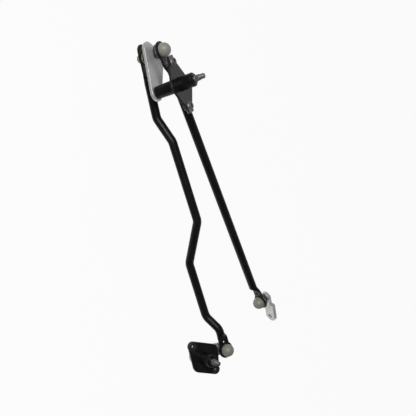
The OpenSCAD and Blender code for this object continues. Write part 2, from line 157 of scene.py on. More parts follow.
def placed(origin, z_axis, x_hint):
    """A frame at origin (metres): Z along z_axis, X as near x_hint as a right angle to Z allows."""
    m = np.eye(4)
    z = unit(z_axis)
    x = unit(np.asarray(x_hint, float) - np.dot(x_hint, z) * z)
    m[:3, 0] = x
    m[:3, 1] = np.cross(z, x)
    m[:3, 2] = z
    m[:3, 3] = np.asarray(origin, float) / MM
    return m


def turned_about(axis, angle):
    """A turn about a frame's own axis."""
    return np.array(Matrix.Rotation(angle, 4, axis))


def raised(x, y, z):
    """A shift along a frame's own axes, in millimetres."""
    m = np.eye(4)
    m[:3, 3] = (x, y, z)
    return m


# Frames of the bodies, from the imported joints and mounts
joint = {j["name"]: j for j in frame["joints"]}
mount = {m["name"]: m for m in frame["record"]["mounts"]}
UP = (0, 0, 1)
drive_at = joint["drive_rod_swing"]["pos_m"]
drive_way = np.array(joint["crank_ball_tilt"]["axis"], float)
crank_at = np.array(joint["crank_turn"]["pos_m"], float)
crank_way = np.array(mount["motor_shaft_hole"]["pos_m"]) - crank_at
link_at = joint["link_rod_swing"]["pos_m"]
link_way = np.array(joint["lower_ball_tilt"]["axis"], float)
lower_at = np.array(joint["lower_shaft_turn"]["pos_m"], float)
lower_axis = joint["lower_shaft_turn"]["axis"]
lower_ball_at = np.array(joint["lower_lever_swing"]["pos_m"], float)

PIVOT_1 = np.eye(4)
LEVER_1 = placed((0, 0, 0), UP, drive_at)
DRIVE_BALL = placed(drive_at, UP, drive_at)
DRIVE = placed(drive_at, UP - np.dot(UP, drive_way) * drive_way, drive_way)
CRANK_BALL = placed(crank_at, joint["crank_turn"]["axis"], drive_way)
CRANK = placed(crank_at, joint["crank_turn"]["axis"], crank_way)
LINK = placed(link_at, UP - np.dot(UP, link_way) * link_way, link_way)
LINK_EYE = LINK @ turned_about("Y", LINK_LEAN) @ turned_about("X", math.pi)
LOWER_BALL = placed(lower_ball_at, lower_axis, link_way)
LEVER_2 = placed(lower_at, lower_axis, lower_ball_at - lower_at)
PIVOT_2 = LEVER_2 @ turned_about("Z", PLATE_2_TURN)


# Surfaces: each is a dict of points, four-cornered faces, an edge mark per point and flat caps to be filled
def grid_faces(rows, columns, wrap_rows):
    """Faces of a grid of points that closes along its columns, and along its rows if wrap_rows is set."""
    i = np.arange(rows if wrap_rows else rows - 1)[:, None]
    j = np.arange(columns)[None, :]
    after = (i + 1) % rows
    beside = (j + 1) % columns
    here = i * columns
    there = after * columns
    corners = np.broadcast_arrays(here + j, here + beside, there + beside, there + j)
    return np.stack(corners, -1).reshape(-1, 4)


def surface(points, edge, wrap_rows, caps=()):
    """A surface from a grid of points of shape (rows, columns, 3) and an edge mark per row."""
    rows, columns = points.shape[:2]
    return {
        "points": points.reshape(-1, 3),
        "faces": grid_faces(rows, columns, wrap_rows),
        "edge": np.repeat(np.asarray(edge, float), columns),
        "caps": list(caps),
    }


def moved(skin, place):
    """The same surface in another frame: p -> place * p."""
    points = skin["points"] @ place[:3, :3].T + place[:3, 3]
    return {**skin, "points": points}


def filleted(corners, closed, steps=4):
    """A path through corners (x, y, fillet radius), each corner an arc with a point close before and after
    it. Gives the points and a mark that is 1 on the arcs."""
    c = np.asarray(corners, float)
    out, mark = [], []
    n = len(c)
    for i in range(n):
        here, radius = c[i, :2], c[i, 2]
        if radius <= 0 or (not closed and i in (0, n - 1)):
            out.append(here[None])
            mark.append([0.0])
            continue
        back = c[i - 1, :2] - here
        on = c[(i + 1) % n, :2] - here
        half = 0.5 * math.acos(np.clip(np.dot(unit(back), unit(on)), -1, 1))
        reach = min(radius / math.tan(half), 0.45 * np.linalg.norm(back), 0.45 * np.linalg.norm(on))
        radius = reach * math.tan(half)
        centre = here + unit(unit(back) + unit(on)) * radius / math.sin(half)
        start = here + unit(back) * reach - centre
        finish = here + unit(on) * reach - centre
        a = math.atan2(start[1], start[0])
        sweep = (math.atan2(finish[1], finish[0]) - a + math.pi) % TURN - math.pi
        angle = a + sweep * np.linspace(0, 1, steps + 1)
        bend = centre + radius * np.stack((np.cos(angle), np.sin(angle)), -1)
        near = 0.1 * reach
        out.append(np.vstack((bend[0] + unit(back) * near, bend, bend[-1] + unit(on) * near)))
        mark.append([0.0] + [1.0] * (steps + 1) + [0.0])
    return np.vstack(out), np.concatenate(mark)


def turned(corners, columns=80):
    """A closed profile turned about Z: P(s, a) = (r(s) cos a, r(s) sin a, z(s)), corners (r, z, fillet)."""
    profile, edge = filleted(corners, True)
    return spun(profile, edge, True, columns)


def spun(profile, edge, closed, columns=80):
    """P(s, a) = (r(s) cos a, r(s) sin a, z(s)) for a profile that is already a fine row of (r, z)."""
    a = np.linspace(0, TURN, columns, endpoint=False)
    r = profile[:, :1]
    z = np.broadcast_to(profile[:, 1:], (len(profile), columns))
    return surface(np.stack((r * np.cos(a), r * np.sin(a), z), -1), edge, closed)


def arc(centre, radius, start, sweep, steps):
    """Points of an arc: centre + radius (cos a, sin a)."""
    a = start + sweep * np.linspace(0, 1, steps + 1)
    return np.asarray(centre, float) + radius * np.stack((np.cos(a), np.sin(a)), -1)


def circle(centre, radius, steps=64, hole=False):
    """A full circle, counter-clockwise, or clockwise for a hole."""
    return arc(centre, radius, 0, -TURN if hole else TURN, steps)[:-1]


def rounded(ends):
    """The outline around round ends (centre, radius), counter-clockwise, with their common tangents."""
    centres = np.array([e[0] for e in ends], float)
    radii = np.array([e[1] for e in ends], float)
    way = np.roll(centres, -1, 0) - centres
    lean = np.arccos((radii - np.roll(radii, -1)) / np.linalg.norm(way, axis=1))
    leave = np.arctan2(way[:, 1], way[:, 0]) - lean
    arrive = np.roll(leave, 1)
    sweeps = (leave - arrive) % TURN
    steps = np.maximum(6, (sweeps * STEPS_PER_RADIAN).astype(int))
    return np.vstack([arc(*end) for end in zip(centres, radii, arrive, sweeps, steps)])


def plate(loops, low, high, edge_r, steps=4):
    """A plate between two heights with rounded edges: a half-round rim profile carried along each outline,
    P(k, s) = (L(s) + d(k) n(s), z(k)), and flat caps. Outlines run with the material on their left."""
    skins = []
    top, bottom = [], []
    base = 0
    bend = np.linspace(0, math.pi / 2, steps + 1)
    inset = edge_r * (1 - np.sin(bend))
    drop = edge_r * (1 - np.cos(bend))
    depth = np.concatenate((inset, inset[::-1]))
    height = np.concatenate((high - drop, (low + drop)[::-1]))
    edge = np.concatenate((np.sin(bend), np.sin(bend)[::-1]))
    for loop in loops:
        along = np.roll(loop, -1, 0) - np.roll(loop, 1, 0)
        along /= np.linalg.norm(along, axis=1)[:, None]
        inward = np.stack((-along[:, 1], along[:, 0]), -1)
        flat = loop[None] + depth[:, None, None] * inward[None]
        tall = np.broadcast_to(height[:, None, None], flat.shape[:2] + (1,))
        skins.append(surface(np.concatenate((flat, tall), -1), edge, False))
        count = len(loop)
        top.append(base + np.arange(count))
        bottom.append(base + count * (len(depth) - 1) + np.arange(count))
        base += count * len(depth)
    made = joined(*skins)
    made["caps"] = [top, bottom]
    return made


def joined(*skins):
    """Several surfaces as one."""
    points, faces, edge, caps = [], [], [], []
    base = 0
    for skin in skins:
        points.append(skin["points"])
        faces.append(skin["faces"] + base)
        edge.append(skin["edge"])
        caps += [[loop + base for loop in cap] for cap in skin["caps"]]
        base += len(skin["points"])
    return {
        "points": np.vstack(points),
        "faces": np.vstack(faces),
        "edge": np.concatenate(edge),
        "caps": caps,
    }


def swept(centre, across, up, half_w, half_t, power, columns=48):
    """A section carried along a path: P(s, a) = C(s) + w(s) c(a) Y(s) + t(s) d(a) N(s), where c and d are
    the signed powers 2/p of cos a and sin a, so that p = 2 is an ellipse and a larger p a rounded
    rectangle."""
    a = np.linspace(0, TURN, columns, endpoint=False)
    half_w, half_t, power = (np.broadcast_to(v, len(centre))[:, None] for v in (half_w, half_t, power))
    c = half_w * np.sign(np.cos(a)) * np.abs(np.cos(a)) ** (2 / power)
    d = half_t * np.sign(np.sin(a)) * np.abs(np.sin(a)) ** (2 / power)
    points = centre[:, None] + c[..., None] * across[:, None] + d[..., None] * up[:, None]
    last = (len(centre) - 1) * columns
    caps = [[np.arange(columns)], [last + np.arange(columns)]]
    return surface(points, np.zeros(len(centre)), False, caps)


def eased(x, low, high):
    """3t^2 - 2t^3 with t running from 0 at low to 1 at high."""
    t = np.clip((x - low) / (high - low), 0, 1)
    return t * t * (3 - 2 * t)


def piece(name, node, body, slot, skin):
    """A mesh piece in the row frame that stands for a CAD node and rides its body."""
    mesh = bpy.data.meshes.new(name)
    mesh.from_pydata((skin["points"] * MM).tolist(), [], skin["faces"].tolist())
    mesh.attributes.new("edge", "FLOAT", "POINT").data.foreach_set("value", skin["edge"])
    mesh.shade_smooth()
    shell = bmesh.new()
    shell.from_mesh(mesh)
    shell.verts.ensure_lookup_table()
    for cap in skin["caps"]:
        rim = []
        for loop in cap:
            for a, b in zip(loop, np.roll(loop, -1)):
                rim.append(shell.edges.get((shell.verts[a], shell.verts[b])))
        for line in rim:
            line.smooth = False
        filled = bmesh.ops.triangle_fill(shell, use_beauty=True, edges=rim)
        for item in filled["geom"]:
            if isinstance(item, bmesh.types.BMFace):
                item.smooth = False
    bmesh.ops.remove_doubles(shell, verts=shell.verts, dist=1e-7)
    bmesh.ops.recalc_face_normals(shell, faces=shell.faces)
    shell.to_mesh(mesh)
    shell.free()
    mesh.materials.append(materials[slot])
    made = bpy.data.objects.new(name, mesh)
    bpy.context.scene.collection.objects.link(made)
    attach(made, body)
    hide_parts(node)


# Materials
def node_group(name, inputs, outputs):
    """An empty shader node group with float inputs (name, value) and float outputs."""
    group = bpy.data.node_groups.new(name, "ShaderNodeTree")
    for label, value in inputs:
        socket = group.interface.new_socket(label, in_out="INPUT", socket_type="NodeSocketFloat")
        socket.default_value = value
    for label in outputs:
        group.interface.new_socket(label, in_out="OUTPUT", socket_type="NodeSocketFloat")
    return group, group.nodes.new("NodeGroupInput"), group.nodes.new("NodeGroupOutput")


def mottle_group():
    """Soft cloudy variation between two values, with fine grain on top of it."""
    group, given, result = node_group(
        "mottle", [("Scale", 60), ("Low", 0), ("High", 1)], ["Value", "Height"]
    )
    nodes, link = group.nodes, group.links.new
    where = nodes.new("ShaderNodeTexCoord")
    cloud = nodes.new("ShaderNodeTexNoise")
    cloud.inputs["Detail"].default_value = 4
    cloud.inputs["Roughness"].default_value = 0.6
    finer = nodes.new("ShaderNodeMath")
    finer.operation = "MULTIPLY"
    finer.inputs[1].default_value = 14
    grain = nodes.new("ShaderNodeTexNoise")
    grain.inputs["Detail"].default_value = 2
    spread = nodes.new("ShaderNodeMapRange")
    spread.inputs["From Min"].default_value = 0.3
    spread.inputs["From Max"].default_value = 0.7
    link(where.outputs["Object"], cloud.inputs["Vector"])
    link(where.outputs["Object"], grain.inputs["Vector"])
    link(given.outputs["Scale"], cloud.inputs["Scale"])
    link(given.outputs["Scale"], finer.inputs[0])
    link(finer.outputs[0], grain.inputs["Scale"])
    link(cloud.outputs[0], spread.inputs["Value"])
    link(given.outputs["Low"], spread.inputs["To Min"])
    link(given.outputs["High"], spread.inputs["To Max"])
    link(spread.outputs[0], result.inputs["Value"])
    link(grain.outputs[0], result.inputs["Height"])
    return group


def wear_group():
    """A mask that is high in patches along a piece's rounded edges."""
    group, given, result = node_group("edge_wear", [("Scale", 250), ("Amount", 0.5)], ["Mask"])
    nodes, link = group.nodes, group.links.new
    where = nodes.new("ShaderNodeTexCoord")
    rims = nodes.new("ShaderNodeAttribute")
    rims.attribute_name = "edge"
    patches = nodes.new("ShaderNodeTexNoise")
    patches.inputs["Detail"].default_value = 3
    spread = nodes.new("ShaderNodeMapRange")
    spread.inputs["From Min"].default_value = 0.42
    spread.inputs["From Max"].default_value = 0.62
    on_rims = nodes.new("ShaderNodeMath")
    on_rims.operation = "MULTIPLY"
    scaled = nodes.new("ShaderNodeMath")
    scaled.operation = "MULTIPLY"
    link(where.outputs["Object"], patches.inputs["Vector"])
    link(given.outputs["Scale"], patches.inputs["Scale"])
    link(patches.outputs[0], spread.inputs["Value"])
    link(spread.outputs[0], on_rims.inputs[0])
    link(rims.outputs["Fac"], on_rims.inputs[1])
    link(on_rims.outputs[0], scaled.inputs[0])
    link(given.outputs["Amount"], scaled.inputs[1])
    link(scaled.outputs[0], result.inputs["Mask"])
    return group


MOTTLE = mottle_group()
WEAR = wear_group()
GLOSS_SCALE = 2.3
RELIEF = 0.0002


def material(name, dark, light, worn, rough, scale, wear, bump, **fixed):
    """A surface whose colour drifts between dark and light, with worn edges, uneven gloss and a fine grain.
    fixed gives constant values by the shader's input name."""
    made = bpy.data.materials.new(name)
    made.use_nodes = True
    nodes, link = made.node_tree.nodes, made.node_tree.links.new
    shader = nodes["Principled BSDF"]
    for label, value in fixed.items():
        shader.inputs[label.replace("_", " ")].default_value = value
    drift = nodes.new("ShaderNodeGroup")
    drift.node_tree = MOTTLE
    drift.inputs["Scale"].default_value = scale
    gloss = nodes.new("ShaderNodeGroup")
    gloss.node_tree = MOTTLE
    gloss.inputs["Scale"].default_value = GLOSS_SCALE * scale
    gloss.inputs["Low"].default_value = rough[0]
    gloss.inputs["High"].default_value = rough[1]
    edges = nodes.new("ShaderNodeGroup")
    edges.node_tree = WEAR
    edges.inputs["Amount"].default_value = wear
    tint = nodes.new("ShaderNodeMix")
    tint.data_type = "RGBA"
    tint.inputs["A"].default_value = (*dark, 1)
    tint.inputs["B"].default_value = (*light, 1)
    rubbed = nodes.new("ShaderNodeMix")
    rubbed.data_type = "RGBA"
    rubbed.inputs["B"].default_value = (*worn, 1)
    relief = nodes.new("ShaderNodeBump")
    relief.inputs["Strength"].default_value = bump
    relief.inputs["Distance"].default_value = RELIEF
    link(drift.outputs["Value"], tint.inputs["Factor"])
    link(tint.outputs["Result"], rubbed.inputs["A"])
    link(edges.outputs["Mask"], rubbed.inputs["Factor"])
    link(rubbed.outputs["Result"], shader.inputs["Base Color"])
    link(gloss.outputs["Value"], shader.inputs["Roughness"])
    link(gloss.outputs["Height"], relief.inputs["Height"])
    link(relief.outputs["Normal"], shader.inputs["Normal"])
    return made


materials = {
    "black_coat": material(
        "black_coat", (0.008, 0.008, 0.009), (0.013, 0.013, 0.014), (0.06, 0.06, 0.06),
        (0.14, 0.24), 40, 0.5, 0.05,
    ),
    "black_rod": material(
        "black_rod", (0.006, 0.006, 0.0065), (0.011, 0.011, 0.011), (0.04, 0.04, 0.04),
        (0.3, 0.42), 50, 0.4, 0.1, Specular_IOR_Level=0.25,
    ),
    "zinc": material(
        "zinc", (0.66, 0.66, 0.655), (0.76, 0.76, 0.76), (0.78, 0.78, 0.78),
        (0.36, 0.48), 60, 0.3, 0.02, Metallic=0.55,
    ),
    "shaft_steel": material(
        "shaft_steel", (0.19, 0.19, 0.19), (0.28, 0.28, 0.275), (0.36, 0.36, 0.36),
        (0.46, 0.58), 90, 0.4, 0.03, Metallic=0.8,
    ),
    "nylon": material(
        "nylon", (0.27, 0.258, 0.222), (0.33, 0.318, 0.278), (0.36, 0.35, 0.31),
        (0.34, 0.46), 80, 0.3, 0.05,
    ),
    "rubber": material(
        "rubber", (0.010, 0.010, 0.010), (0.018, 0.018, 0.018), (0.03, 0.03, 0.03),
        (0.55, 0.7), 90, 0.4, 0.2,
    ),
    "bronze": material(
        "bronze", (0.40, 0.27, 0.13), (0.5, 0.35, 0.18), (0.6, 0.45, 0.25),
        (0.38, 0.5), 120, 0.4, 0.15, Metallic=1,
    ),
}


# Pieces of a pivot
def housing(back):
    """A bearing tube with a collar behind the plate, a groove near its back end and a mouth in front."""
    collar_low = -PLATE_T - COLLAR_LEN
    groove_z = 3 - back
    groove_r = HOUSING_BACK_R - 0.45
    return turned([
        (BORE_R, -back, 0.4), (HOUSING_BACK_R, -back, 0.7), (HOUSING_BACK_R, groove_z - 0.6, 0.12),
        (groove_r, groove_z - 0.4, 0.12), (groove_r, groove_z + 0.4, 0.12),
        (HOUSING_BACK_R, groove_z + 0.6, 0.12), (HOUSING_R - 0.05, collar_low, 0.3),
        (COLLAR_R, collar_low, 0.6), (COLLAR_R, -PLATE_T, 0.2), (HOUSING_R, -PLATE_T, 0.05),
        (HOUSING_R, HOUSING_FRONT, 0.8), (MOUTH_R, HOUSING_FRONT, 0.4),
        (MOUTH_R, HOUSING_FRONT - MOUTH_DEPTH, 0.1), (BORE_R, HOUSING_FRONT - MOUTH_DEPTH, 0.1),
    ])


def flange():
    """The skewed four-cornered plate with its tube hole and two ear holes."""
    outline = rounded([((EAR_X, 0), EAR_R), (BROAD, BROAD_R), ((-EAR_X, 0), EAR_R), (LOW_CORNER, BROAD_R)])
    holes = [circle((x, 0), EAR_HOLE_R, 40, True) for x in (-EAR_X, EAR_X)]
    return plate([outline, circle((0, 0), HOUSING_R + 0.02, 72, True), *holes], -PLATE_T, 0, 0.55)


def at_ears(skin):
    """The same fitting on both ears of a plate."""
    far = turned_about("Z", math.pi)
    out = raised(EAR_X, 0, 0)
    return joined(moved(skin, out), moved(skin, far @ out))


def clip_nut():
    """A folded spring clip over the ear: two leaves, the fold, a barrel in front and a collar behind."""
    half_w = 5.5
    leaf_t = 1
    barrel_r, barrel_top = 4.5, 4
    collar_r, collar_h = 4, 4
    tip = EAR_R + 0.3
    back = -PLATE_T - leaf_t
    outline, _ = filleted([(tip - 0.6, -half_w, 0.2), (tip - 0.6, half_w, 0.2), (-half_w, half_w, 2.2),
                           (-half_w, -half_w, 2.2)], True)
    hole = circle((0, 0), SCREW_R, 40, True)
    leaves = [plate([outline, hole], z, z + leaf_t, 0.25) for z in (0, back)]
    fold_x = tip + leaf_t / 2
    front_z, back_z = leaf_t / 2, back + leaf_t / 2
    path, _ = filleted([(tip - 0.8, front_z, 0), (fold_x, front_z, 1.1), (fold_x, back_z, 1.1),
                        (tip - 0.8, back_z, 0)], False, 8)
    centre = np.stack((path[:, 0], 0 * path[:, 0], path[:, 1]), -1)
    along = np.gradient(path, axis=0)
    along /= np.linalg.norm(along, axis=1)[:, None]
    up = np.stack((-along[:, 1], 0 * along[:, 0], along[:, 0]), -1)
    across = np.broadcast_to((0.0, 1.0, 0.0), up.shape)
    fold = swept(centre, across, up, half_w, leaf_t / 2, 9)
    barrel = turned([
        (SCREW_R, 0.2, 0), (barrel_r + 0.9, 0.2, 0), (barrel_r + 0.9, leaf_t, 0),
        (barrel_r, leaf_t + 0.9, 0.5), (barrel_r, barrel_top, 0.5), (SCREW_R, barrel_top, 0.4),
    ], 56)
    collar = turned([
        (SCREW_R, back + 0.8, 0), (SCREW_R, back - collar_h, 0.3), (collar_r, back - collar_h, 0.4),
        (collar_r, back + 0.8, 0),
    ], 56)
    return joined(*leaves, fold, barrel, collar)


def grommet():
    """A rubber bush with a rim on each side of the plate."""
    rim_r = 7
    waist_r = EAR_HOLE_R - 0.02
    rim = 2
    return turned([
        (SCREW_R, -PLATE_T - rim, 0.5), (rim_r, -PLATE_T - rim, 0.9), (rim_r, -PLATE_T, 0.4),
        (waist_r, -PLATE_T, 0.05), (waist_r, 0, 0.05), (rim_r, 0, 0.4), (rim_r, rim, 0.9),
        (SCREW_R, rim, 0.5),
    ], 64)


# Pieces of a shaft
def shaft(face):
    """P(z, a) = (r cos a, r sin a, z), where r is the turned profile less the splines' depth times a
    triangle wave of 24 a, or less the thread's depth times a triangle wave of (z / pitch - a / turn)."""
    splines, spline_depth = 24, 0.32
    pitch, thread_depth = 1.0, 0.42
    knurl_rows, thread_rows = 14, 85
    slight_wear = 0.3
    back = face - LEVER_T
    thread_z = KNURL_Z + KNURL_LEN
    tip = thread_z + THREAD_LEN
    groove_z = CIRCLIP_Z - 0.1
    groove_r = SHAFT_R - GROOVE
    groove_top = groove_z + WASHER_T + 0.2
    profile, edge = filleted([
        (0, back - RIVET_H, 0), (RIVET_R - 1.2, back - RIVET_H, 1.0), (RIVET_R, back - 0.7, 0.5),
        (RIVET_R, back, 0.1), (SPIGOT_R, back, 0.05), (SPIGOT_R, face, 0.05), (SHAFT_R, face, 0.1),
        (SHAFT_R, groove_z, 0.05), (groove_r, groove_z, 0.05), (groove_r, groove_top, 0.05),
        (SHAFT_R, groove_top, 0.05), (SHAFT_R, KNURL_Z - 0.05, 0.2),
    ], False)
    knurl_z = np.linspace(KNURL_Z, thread_z, knurl_rows)
    knurl_r = np.linspace(KNURL_R, KNURL_R - 0.2, knurl_rows)
    wound_z = np.linspace(thread_z + 0.02, tip, thread_rows)
    wound_r = THREAD_R - 0.6 * eased(wound_z, tip - 0.9, tip)
    knurl = np.stack((knurl_r, knurl_z), -1)
    thread = np.stack((wound_r, wound_z), -1)
    profile = np.vstack((profile, knurl, thread, [(0, tip)]))
    z = profile[:, 1:]
    a = np.linspace(0, TURN, 144, endpoint=False)
    ridge = 2 * np.abs((splines * a / TURN) % 1 - 0.5)
    coil = 2 * np.abs((z / pitch - a / TURN) % 1 - 0.5)
    on_knurl = ((z >= KNURL_Z) & (z <= thread_z)) * eased(z, KNURL_Z, KNURL_Z + 0.8)
    on_thread = (z > thread_z + 0.3) * (z < tip - 0.01) * eased(z, thread_z + 0.3, thread_z + 0.9)
    r = profile[:, :1] - spline_depth * on_knurl * ridge - thread_depth * on_thread * coil
    r = np.maximum(r, 0)
    marks = np.concatenate((edge, np.full(knurl_rows + thread_rows, slight_wear), [0]))
    points = np.stack((r * np.cos(a), r * np.sin(a), np.broadcast_to(z, r.shape)), -1)
    return surface(points, marks, False)


def washer():
    """A flat thrust washer."""
    inner = SHAFT_R + 0.04
    top = WASHER_Z + WASHER_T
    return turned([
        (inner, WASHER_Z, 0.1), (WASHER_R, WASHER_Z, 0.2), (WASHER_R, top, 0.25), (inner, top, 0.15),
    ])


def circlip():
    """An open ring that tapers a little towards its two ends."""
    inner = SHAFT_R - GROOVE + 0.02
    gap = 0.62
    a = np.linspace(gap, TURN - gap, 60)
    outer = CIRCLIP_R - 0.5 * np.abs(a - math.pi) / math.pi
    out = outer[:, None] * np.stack((np.cos(a), np.sin(a)), -1)
    back = inner * np.stack((np.cos(a), np.sin(a)), -1)[::-1]
    return plate([np.vstack((out, back))], CIRCLIP_Z, CIRCLIP_Z + WASHER_T, 0.15, 2)


# Pieces of a ball joint, in the frame of its ball, with the dome towards +Z
def mouth(j):
    """Radius and level of the mouth that holds the ball: r = sqrt(seat^2 - z^2)."""
    level = MOUTH_SHARE * j.ball_r
    return math.sqrt((j.ball_r + RUN_GAP) ** 2 - level ** 2), -level


def cup(j):
    """A nylon cup: a dome with a gate mark, a groove for the eye, a lip, and the ball's seat inside."""
    fall = np.linspace(1.35 / j.cup_r, math.pi / 2, 26)
    dome = j.cup_r * np.stack((np.sin(fall), np.cos(fall)), -1)
    gate = np.array([(0, j.cup_r - 0.42), (0.9, j.cup_r - 0.4), (1.2, j.cup_r - 0.18)])
    groove_r = j.cup_r - CUP_GROOVE
    lip_r = j.cup_r + CUP_LIP
    mouth_r, mouth_z = mouth(j)
    rim, rim_edge = filleted([
        (j.cup_r, -0.2, 0), (j.cup_r, j.eye_high, 0.3), (groove_r, j.eye_high, 0.1),
        (groove_r, j.eye_low, 0.1), (lip_r, j.eye_low, 0.5), (lip_r, j.lip_low, 0.5),
        (mouth_r, j.lip_low, 0.15), (mouth_r, mouth_z, 0),
    ], False)
    seat_r = j.ball_r + RUN_GAP
    rise = np.linspace(math.pi - math.asin(mouth_r / seat_r), 0, 16)[1:]
    seat = seat_r * np.stack((np.sin(rise), np.cos(rise)), -1)
    profile = np.vstack((gate, dome, rim, seat))
    edge = np.concatenate((np.zeros(len(gate) + len(dome)), rim_edge, np.zeros(len(seat))))
    return spun(profile, edge, False, 88)


def dust_ring(j):
    """A ribbed rubber ring between the cup's lip and the lever."""
    outer = j.cup_r + CUP_LIP - 0.8
    inner = mouth(j)[0] + 0.4
    middle = 0.5 * (j.dust_low + j.lip_low)
    return turned([
        (inner, j.dust_low, 0.3), (outer - 0.5, j.dust_low, 0.5), (outer - 0.1, middle - 0.5, 0.3),
        (outer - 0.9, middle, 0.3), (outer, middle + 0.5, 0.3), (outer, j.lip_low, 0.2),
        (inner, j.lip_low, 0.2),
    ])


def ball_profile(j):
    """Half the outline of a ball on its neck and collar, from the ball's top down to the lever's face."""
    fall = np.linspace(0, math.pi - math.asin(j.neck_r / j.ball_r), 30)
    ball = j.ball_r * np.stack((np.sin(fall), np.cos(fall)), -1)
    collar_r = j.neck_r + COLLAR_STEP
    collar_z = COLLAR_H - j.ball_h
    low, _ = filleted([
        (j.neck_r, ball[-1, 1] - 0.1, 0), (j.neck_r, collar_z, 0.5), (collar_r, collar_z, 0.3),
        (collar_r, -j.ball_h, 0),
    ], False)
    return np.vstack((ball, low))


def single_stud(plate_t):
    """A ball stud riveted over behind its plate."""
    face = -FRONT.ball_h
    back = face - plate_t
    foot, _ = filleted([
        (SHANK_R, face, 0), (SHANK_R, back, 0), (RIVET_R, back, 0.1), (RIVET_R, back - 1.2, 0.6),
        (RIVET_R - 1.4, back - RIVET_H, 0.8), (0, back - RIVET_H, 0),
    ], False)
    profile = np.vstack((ball_profile(FRONT), foot))
    return spun(profile, np.zeros(len(profile)), False, 64)


def double_stud():
    """Two balls on one shank through the lever. The second profile is mirrored:
    z -> -(both heights + t) - z."""
    half = ball_profile(FRONT)
    behind = ball_profile(BACK)[::-1]
    face = -FRONT.ball_h
    across = face - LEVER_T - BACK.ball_h
    mirrored = np.stack((behind[:, 0], across - behind[:, 1]), -1)
    shank = np.array([(SHANK_R, face), (SHANK_R, face - LEVER_T)])
    profile = np.vstack((half, shank, mirrored))
    return spun(profile, np.zeros(len(profile)), False, 64)


# Rods
def eye(j, strip_end, drain_x=None, over=0):
    """A flattened tube end: a ring for the cup with a strip running off it along +X, and a drain hole.
    It may run on beyond the ring by a length over."""
    fillet = 5
    right_angle = math.pi / 2
    fillet_x = math.sqrt((j.eye_r + fillet) ** 2 - (FLAT_HALF_W + fillet) ** 2)
    fillet_y = FLAT_HALF_W + fillet
    join = math.atan2(fillet_y, fillet_x)
    ring = np.vstack((
        arc((0, 0), j.eye_r, join, right_angle - join, 16)[:-1],
        *([[(0, j.eye_r)]] if over else []),
        arc((-over, 0), j.eye_r, right_angle, math.pi, 48),
        *([[(0, -j.eye_r)]] if over else []),
        arc((0, 0), j.eye_r, -right_angle, right_angle - join, 16)[1:],
    ))
    low = arc((fillet_x, -fillet_y), fillet, math.pi - join, join - right_angle, 10)[1:]
    high = arc((fillet_x, fillet_y), fillet, -right_angle, join - right_angle, 10)[:-1]
    end = np.array([(strip_end, -FLAT_HALF_W), (strip_end, FLAT_HALF_W)])
    hole = circle((0, 0), j.cup_r - CUP_GROOVE + SEAT_GAP, 72, True)
    loops = [np.vstack((ring, low, end, high)), hole]
    if drain_x:
        loops.append(circle((drain_x, 0), DRAIN_R, 28, True))
    return plate(loops, j.eye_low, j.eye_high, 0.7)


def tube(path, twist, flat_from, flat_to, shifts):
    """A tube along a path in the rod's XZ plane that is flattened at both ends: the section runs from a
    rounded rectangle to a circle and back. twist gives the two ends' turns about the rod, flat_from and
    flat_to the two places along X between which each end closes, and shifts how far the two flats lie
    beside the path."""
    spacing = 1.1
    step = np.linalg.norm(np.diff(path, axis=0), axis=1)
    far = np.concatenate(([0], np.cumsum(step)))
    at = np.linspace(0, far[-1], int(far[-1] / spacing))
    x = np.interp(at, far, path[:, 0])
    z = np.interp(at, far, path[:, 1])
    along = np.stack((np.gradient(x), np.gradient(z)), -1)
    along /= np.linalg.norm(along, axis=1)[:, None]
    near = 1 - eased(x, *flat_from)
    far_end = eased(x, *flat_to)
    flat = near + far_end
    turn = twist[0] + (twist[1] - twist[0]) * eased(x, flat_from[1], flat_to[0])
    rise = np.stack((-along[:, 1], 0 * x, along[:, 0]), -1)
    side = np.broadcast_to((0.0, 1.0, 0.0), rise.shape)
    up = np.cos(turn)[:, None] * rise - np.sin(turn)[:, None] * side
    across = np.cos(turn)[:, None] * side + np.sin(turn)[:, None] * rise
    centre = np.stack((x, 0 * x, z), -1)
    near_shift, far_shift = np.array(shifts, float)
    centre = centre + near[:, None] * near_shift + far_end[:, None] * far_shift
    half_w = ROD_R + (FLAT_HALF_W - ROD_R) * flat
    half_t = ROD_R + (FLAT_HALF_T - ROD_R) * flat
    power = 2 + 5 * flat ** 2
    return swept(centre, across, up, half_w, half_t, power)


def twist_between(rod, ball):
    """The turn about a rod's X that brings the rod's Z to a ball's Z."""
    rod_z, ball_z = rod[:3, 2], ball[:3, 2]
    return math.atan2(np.dot(np.cross(rod_z, ball_z), rod[:3, 0]), np.dot(rod_z, ball_z))


def drive_rod():
    """The straight rod, with its two eyes turned to each other."""
    twist = twist_between(DRIVE, CRANK_BALL)
    path = np.array([(FLAT_X - OVERLAP, 0), (DRIVE_LEN - FAR_FLAT_X + OVERLAP, 0)], float)
    shifts = ((0, 0, -EYE_DROP), (0, EYE_DROP * math.sin(twist), -EYE_DROP * math.cos(twist)))
    flat_to = (DRIVE_LEN - ROD_NECK, DRIVE_LEN - FAR_FLAT_X)
    body = tube(path, (0, twist), (FLAT_X, ROD_NECK), flat_to, shifts)
    far_eye = CRANK_BALL @ turned_about("Z", math.pi)
    return joined(
        moved(body, DRIVE), moved(eye(FRONT, FLAT_X), DRIVE),
        moved(eye(FRONT, FAR_FLAT_X, FAR_DRAIN_X), far_eye),
    )


def on_lean(x):
    """A place on the middle line of the link rod's leaning upper end, in the rod's XZ plane."""
    c, s = math.cos(LINK_LEAN), math.sin(LINK_LEAN)
    return x * c + BACK_DROP * s, BACK_DROP * c - x * s


